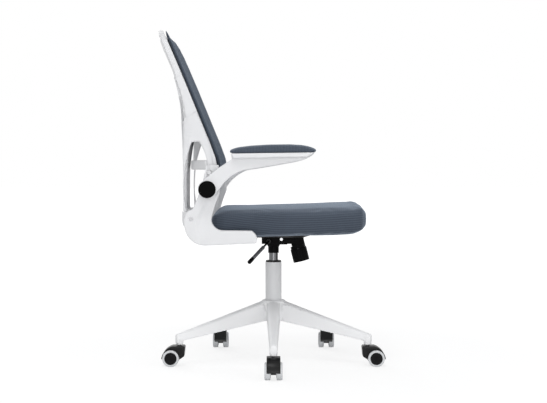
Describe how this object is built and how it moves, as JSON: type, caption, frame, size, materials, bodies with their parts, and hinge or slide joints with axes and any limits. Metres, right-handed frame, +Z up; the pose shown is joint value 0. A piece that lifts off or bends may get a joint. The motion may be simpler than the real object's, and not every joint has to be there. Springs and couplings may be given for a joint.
{
  "type": "office chair",
  "caption": "Swivel office chair with a curved mesh back, padded seat, flip-up arms, tilt mechanism, gas lift and a five-star castor base.",
  "frame": {"origin": "on the column's axis at floor level", "axes": "+Z up, +X to the sitter's front, +Y to the sitter's left"},
  "size_m": [0.6801, 0.6605, 1.002],
  "materials": {
    "white_plastic": "satin moulded",
    "white_steel": "satin powder coat",
    "black_plastic": "satin moulded",
    "charcoal_plastic": "fine ribs",
    "grey_plastic": "satin moulded",
    "black_steel": "satin powder coat",
    "bright_steel": "bright",
    "light_tyre": "soft tread",
    "slate_fabric": "fine weave",
    "slate_mesh": "knitted mesh"
  },
  "bodies": {
    "base": {"base_star": "white_plastic", "column_tube": "white_steel", "column_bush": "black_plastic"},
    "lift_rod": {"column_rod": "bright_steel"},
    "head": {"column_piston": "bright_steel", "tilt_carrier": "black_steel"},
    "seat": {"tilt_box": "black_steel", "tilt_pin": "bright_steel", "tension_spring": "bright_steel", "tension_bolt": "bright_steel", "seat_pan": "black_plastic", "seat_cushion": "slate_fabric", "seat_bolts": "bright_steel", "bracket_right": "white_plastic", "bracket_left": "white_plastic", "back_frame": "white_plastic", "rear_spine": "white_plastic", "lumbar_bar": "white_plastic", "back_mesh": "slate_mesh", "back_screws": "bright_steel", "arm_pin_right": "black_plastic", "arm_pin_left": "black_plastic"},
    "knob": {"tension_knob": "charcoal_plastic"},
    "lever_sleeve": {"lever_bush": "black_plastic"},
    "lever": {"lever_rod": "black_steel", "lever_grip": "grey_plastic"},
    "right_arm": {"arm_right": "white_plastic", "arm_pad_right": "slate_fabric"},
    "left_arm": {"arm_left": "white_plastic", "arm_pad_left": "slate_fabric"},
    "castor_1": {"castor_hood_1": "black_plastic", "castor_pins_1": "bright_steel"},
    "wheel_1a": {"castor_hub_1a": "black_plastic", "castor_tyre_1a": "light_tyre"},
    "wheel_1b": {"castor_hub_1b": "black_plastic", "castor_tyre_1b": "light_tyre"},
    "castor_2": {"castor_hood_2": "black_plastic", "castor_pins_2": "bright_steel"},
    "wheel_2a": {"castor_hub_2a": "black_plastic", "castor_tyre_2a": "light_tyre"},
    "wheel_2b": {"castor_hub_2b": "black_plastic", "castor_tyre_2b": "light_tyre"},
    "castor_3": {"castor_hood_3": "black_plastic", "castor_pins_3": "bright_steel"},
    "wheel_3a": {"castor_hub_3a": "black_plastic", "castor_tyre_3a": "light_tyre"},
    "wheel_3b": {"castor_hub_3b": "black_plastic", "castor_tyre_3b": "light_tyre"},
    "castor_4": {"castor_hood_4": "black_plastic", "castor_pins_4": "bright_steel"},
    "wheel_4a": {"castor_hub_4a": "black_plastic", "castor_tyre_4a": "light_tyre"},
    "wheel_4b": {"castor_hub_4b": "black_plastic", "castor_tyre_4b": "light_tyre"},
    "castor_5": {"castor_hood_5": "black_plastic", "castor_pins_5": "bright_steel"},
    "wheel_5a": {"castor_hub_5a": "black_plastic", "castor_tyre_5a": "light_tyre"},
    "wheel_5b": {"castor_hub_5b": "black_plastic", "castor_tyre_5b": "light_tyre"}
  },
  "joints": [
    {"name": "seat_swivel", "type": "hinge", "parent": "base", "child": "lift_rod", "pos_m": [0, 0, 0.13], "axis": [0, 0, 1], "continuous": true},
    {"name": "seat_lift", "type": "slide", "parent": "lift_rod", "child": "head", "axis": [0, 0, 1], "range_m": [-0.02, 0.08]},
    {"name": "seat_tilt", "type": "hinge", "parent": "head", "child": "seat", "pos_m": [0.024, 0, 0.379], "axis": [0, -1, 0], "range_deg": [0, 15], "stiffness_Nm_per_rad": 80, "springref_deg": -22.92, "deforming": ["tension_spring"]},
    {"name": "tension_turn", "type": "hinge", "parent": "seat", "child": "knob", "pos_m": [0.074, 0, 0.36], "axis": [-0.2419, 0, 0.9703], "continuous": true},
    {"name": "tilt_lock", "type": "slide", "parent": "seat", "child": "lever_sleeve", "axis": [0, -1, 0], "range_m": [0, 0.012]},
    {"name": "height_lever", "type": "hinge", "parent": "lever_sleeve", "child": "lever", "pos_m": [-0.015, -0.0565, 0.373], "axis": [-1, 0, 0], "range_deg": [0, 8], "stiffness_Nm_per_rad": 0.5, "springref_deg": -11.46},
    {"name": "arm_flip_right", "type": "hinge", "parent": "seat", "child": "right_arm", "pos_m": [-0.188, -0.27, 0.535], "axis": [0, -1, 0], "range_deg": [0, 90]},
    {"name": "arm_flip_left", "type": "hinge", "parent": "seat", "child": "left_arm", "pos_m": [-0.188, 0.27, 0.535], "axis": [0, -1, 0], "range_deg": [0, 90]},
    {"name": "castor_swivel_1", "type": "hinge", "parent": "base", "child": "castor_1", "pos_m": [0, -0.298, 0.064], "axis": [0, 0, 1], "continuous": true},
    {"name": "wheel_spin_1a", "type": "hinge", "parent": "castor_1", "child": "wheel_1a", "pos_m": [0, -0.323, 0.025], "axis": [1, 0, 0], "continuous": true},
    {"name": "wheel_spin_1b", "type": "hinge", "parent": "castor_1", "child": "wheel_1b", "pos_m": [0, -0.323, 0.025], "axis": [1, 0, 0], "continuous": true},
    {"name": "castor_swivel_2", "type": "hinge", "parent": "base", "child": "castor_2", "pos_m": [-0.28341, -0.09209, 0.064], "axis": [0, 0, 1], "continuous": true},
    {"name": "wheel_spin_2a", "type": "hinge", "parent": "castor_2", "child": "wheel_2a", "pos_m": [-0.30841, -0.09209, 0.025], "axis": [0, -1, 0], "continuous": true},
    {"name": "wheel_spin_2b", "type": "hinge", "parent": "castor_2", "child": "wheel_2b", "pos_m": [-0.30841, -0.09209, 0.025], "axis": [0, -1, 0], "continuous": true},
    {"name": "castor_swivel_3", "type": "hinge", "parent": "base", "child": "castor_3", "pos_m": [0.28341, -0.09209, 0.064], "axis": [0, 0, 1], "continuous": true},
    {"name": "wheel_spin_3a", "type": "hinge", "parent": "castor_3", "child": "wheel_3a", "pos_m": [0.30841, -0.09209, 0.025], "axis": [0, 1, 0], "continuous": true},
    {"name": "wheel_spin_3b", "type": "hinge", "parent": "castor_3", "child": "wheel_3b", "pos_m": [0.30841, -0.09209, 0.025], "axis": [0, 1, 0], "continuous": true},
    {"name": "castor_swivel_4", "type": "hinge", "parent": "base", "child": "castor_4", "pos_m": [-0.17516, 0.24109, 0.064], "axis": [0, 0, 1], "continuous": true},
    {"name": "wheel_spin_4a", "type": "hinge", "parent": "castor_4", "child": "wheel_4a", "pos_m": [-0.17516, 0.26609, 0.025], "axis": [-1, 0, 0], "continuous": true},
    {"name": "wheel_spin_4b", "type": "hinge", "parent": "castor_4", "child": "wheel_4b", "pos_m": [-0.17516, 0.26609, 0.025], "axis": [-1, 0, 0], "continuous": true},
    {"name": "castor_swivel_5", "type": "hinge", "parent": "base", "child": "castor_5", "pos_m": [0.17516, 0.24109, 0.064], "axis": [0, 0, 1], "continuous": true},
    {"name": "wheel_spin_5a", "type": "hinge", "parent": "castor_5", "child": "wheel_5a", "pos_m": [0.17516, 0.26609, 0.025], "axis": [-1, 0, 0], "continuous": true},
    {"name": "wheel_spin_5b", "type": "hinge", "parent": "castor_5", "child": "wheel_5b", "pos_m": [0.17516, 0.26609, 0.025], "axis": [-1, 0, 0], "continuous": true}
  ]
}
